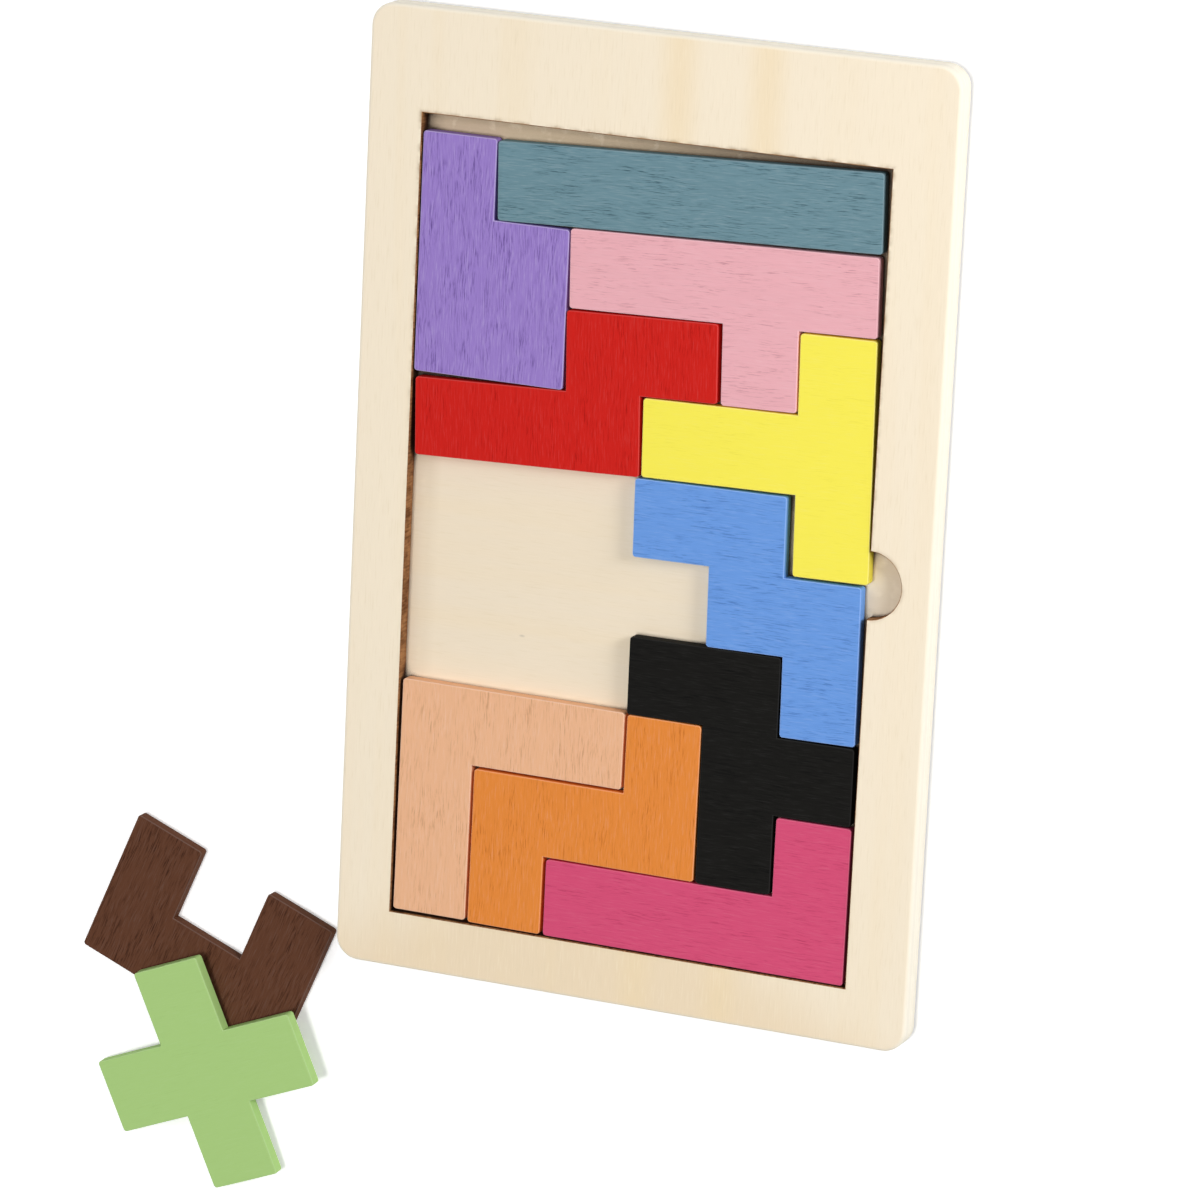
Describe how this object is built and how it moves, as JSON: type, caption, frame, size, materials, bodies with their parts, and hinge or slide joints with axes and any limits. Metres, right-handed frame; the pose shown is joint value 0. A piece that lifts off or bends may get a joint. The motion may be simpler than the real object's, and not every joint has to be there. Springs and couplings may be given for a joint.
{
  "type": "wooden shape puzzle",
  "caption": "Flat wooden pentomino puzzle: a plywood tray with a cut-out pocket and finger notch, filled with loose painted blocks, some taken out beside it.",
  "frame": {"origin": "middle of the tray's underside", "axes": "+Z out of the tray's open face, +Y up the tray towards its wide border, +X towards the finger notch"},
  "size_m": [0.2518, 0.3478, 0.0087],
  "materials": {
    "frame_plywood": "sanded bare plywood, burnt dark where the pocket was cut",
    "base_plywood": "sanded bare plywood",
    "purple_paint": "thin matt paint, grain showing",
    "teal_paint": "thin matt paint, grain showing",
    "pink_paint": "thin matt paint, grain showing",
    "red_paint": "thin matt paint, grain showing",
    "yellow_paint": "thin matt paint, grain showing",
    "blue_paint": "thin matt paint, grain showing",
    "black_paint": "thin matt paint, grain showing",
    "peach_paint": "thin matt paint, grain showing",
    "orange_paint": "thin matt paint, grain showing",
    "magenta_paint": "thin matt paint, grain showing",
    "green_paint": "matt paint, nearly smooth",
    "brown_paint": "dark stain, grain showing"
  },
  "bodies": {
    "tray": {"tray_frame": "frame_plywood", "base_panel": "base_plywood"},
    "purple_p": {"purple_p_block": "purple_paint"},
    "teal_i": {"teal_i_block": "teal_paint"},
    "pink_y": {"pink_y_block": "pink_paint"},
    "red_n": {"red_n_block": "red_paint"},
    "yellow_t": {"yellow_t_block": "yellow_paint"},
    "blue_w": {"blue_w_block": "blue_paint"},
    "black_f": {"black_f_block": "black_paint"},
    "peach_v": {"peach_v_block": "peach_paint"},
    "orange_z": {"orange_z_block": "orange_paint"},
    "magenta_l": {"magenta_l_block": "magenta_paint"},
    "brown_u": {"brown_u_block": "brown_paint"},
    "green_x": {"green_x_block": "green_paint"}
  },
  "joints": [
    {"name": "purple_p_lift", "type": "slide", "parent": "tray", "child": "purple_p", "axis": [0, 0, 1], "range_m": [0, 0.03]},
    {"name": "teal_i_lift", "type": "slide", "parent": "tray", "child": "teal_i", "axis": [0, 0, 1], "range_m": [0, 0.03]},
    {"name": "pink_y_lift", "type": "slide", "parent": "tray", "child": "pink_y", "axis": [0, 0, 1], "range_m": [0, 0.03]},
    {"name": "red_n_lift", "type": "slide", "parent": "tray", "child": "red_n", "axis": [0, 0, 1], "range_m": [0, 0.03]},
    {"name": "yellow_t_lift", "type": "slide", "parent": "tray", "child": "yellow_t", "axis": [0, 0, 1], "range_m": [0, 0.03]},
    {"name": "blue_w_lift", "type": "slide", "parent": "tray", "child": "blue_w", "axis": [0, 0, 1], "range_m": [0, 0.03]},
    {"name": "black_f_lift", "type": "slide", "parent": "tray", "child": "black_f", "axis": [0, 0, 1], "range_m": [0, 0.03]},
    {"name": "peach_v_lift", "type": "slide", "parent": "tray", "child": "peach_v", "axis": [0, 0, 1], "range_m": [0, 0.03]},
    {"name": "orange_z_lift", "type": "slide", "parent": "tray", "child": "orange_z", "axis": [0, 0, 1], "range_m": [0, 0.03]},
    {"name": "magenta_l_lift", "type": "slide", "parent": "tray", "child": "magenta_l", "axis": [0, 0, 1], "range_m": [0, 0.03]},
    {"name": "brown_u_lift", "type": "slide", "parent": "tray", "child": "brown_u", "axis": [0, 0, 1], "range_m": [0, 0.03]},
    {"name": "green_x_lift", "type": "slide", "parent": "brown_u", "child": "green_x", "axis": [0, 0, 1], "range_m": [0, 0.03]}
  ]
}
